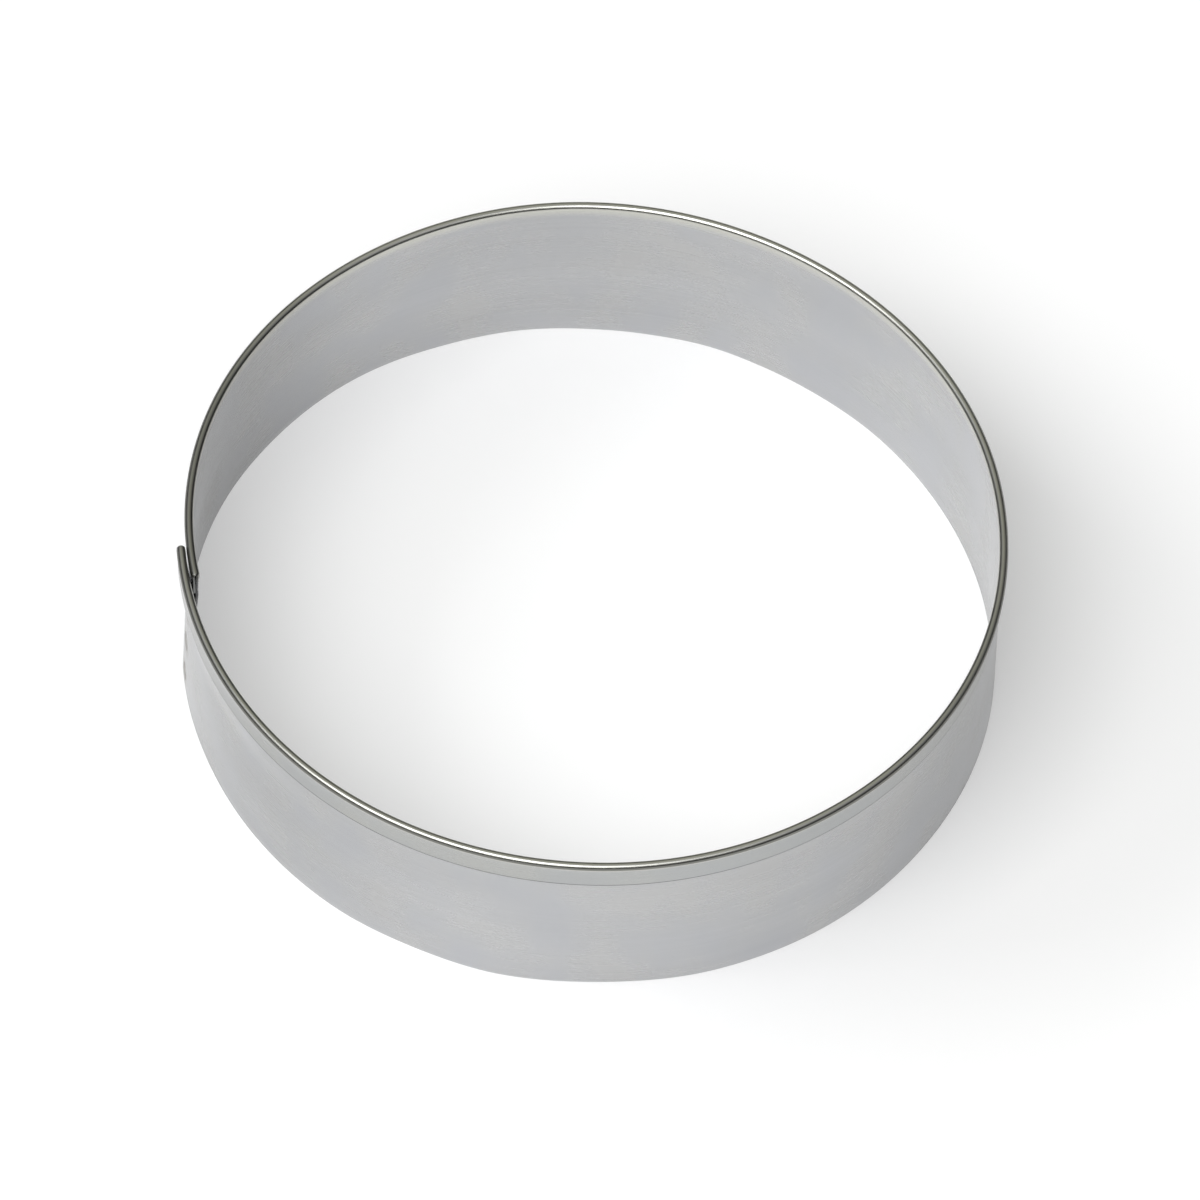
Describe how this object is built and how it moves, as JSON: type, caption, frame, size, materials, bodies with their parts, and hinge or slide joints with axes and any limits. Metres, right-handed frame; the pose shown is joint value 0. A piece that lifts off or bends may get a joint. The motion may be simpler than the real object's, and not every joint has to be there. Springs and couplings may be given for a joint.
{
  "type": "biscuit cutter",
  "caption": "Plain round cutter: a ring of thin sheet steel, open above and below, with a rolled rim on top, a bare cutting edge below and a lapped, spot-welded seam.",
  "frame": {"origin": "centre of the ring on the plane of the cutting edge", "axes": "+Z along the ring's axis, from the cutting edge up to the rolled rim; -Y to the side that faces the picture's camera; the seam is near -X"},
  "size_m": [0.1, 0.1, 0.025],
  "materials": {
    "band_steel": "satin, rolled sheet, faint streaks along the strip",
    "weld_steel": "matt, slightly discoloured by the weld"
  },
  "bodies": {
    "root": {"cutter_band": "band_steel", "upper_spot_weld": "weld_steel", "middle_spot_weld": "weld_steel", "lower_spot_weld": "weld_steel"}
  },
  "joints": []
}
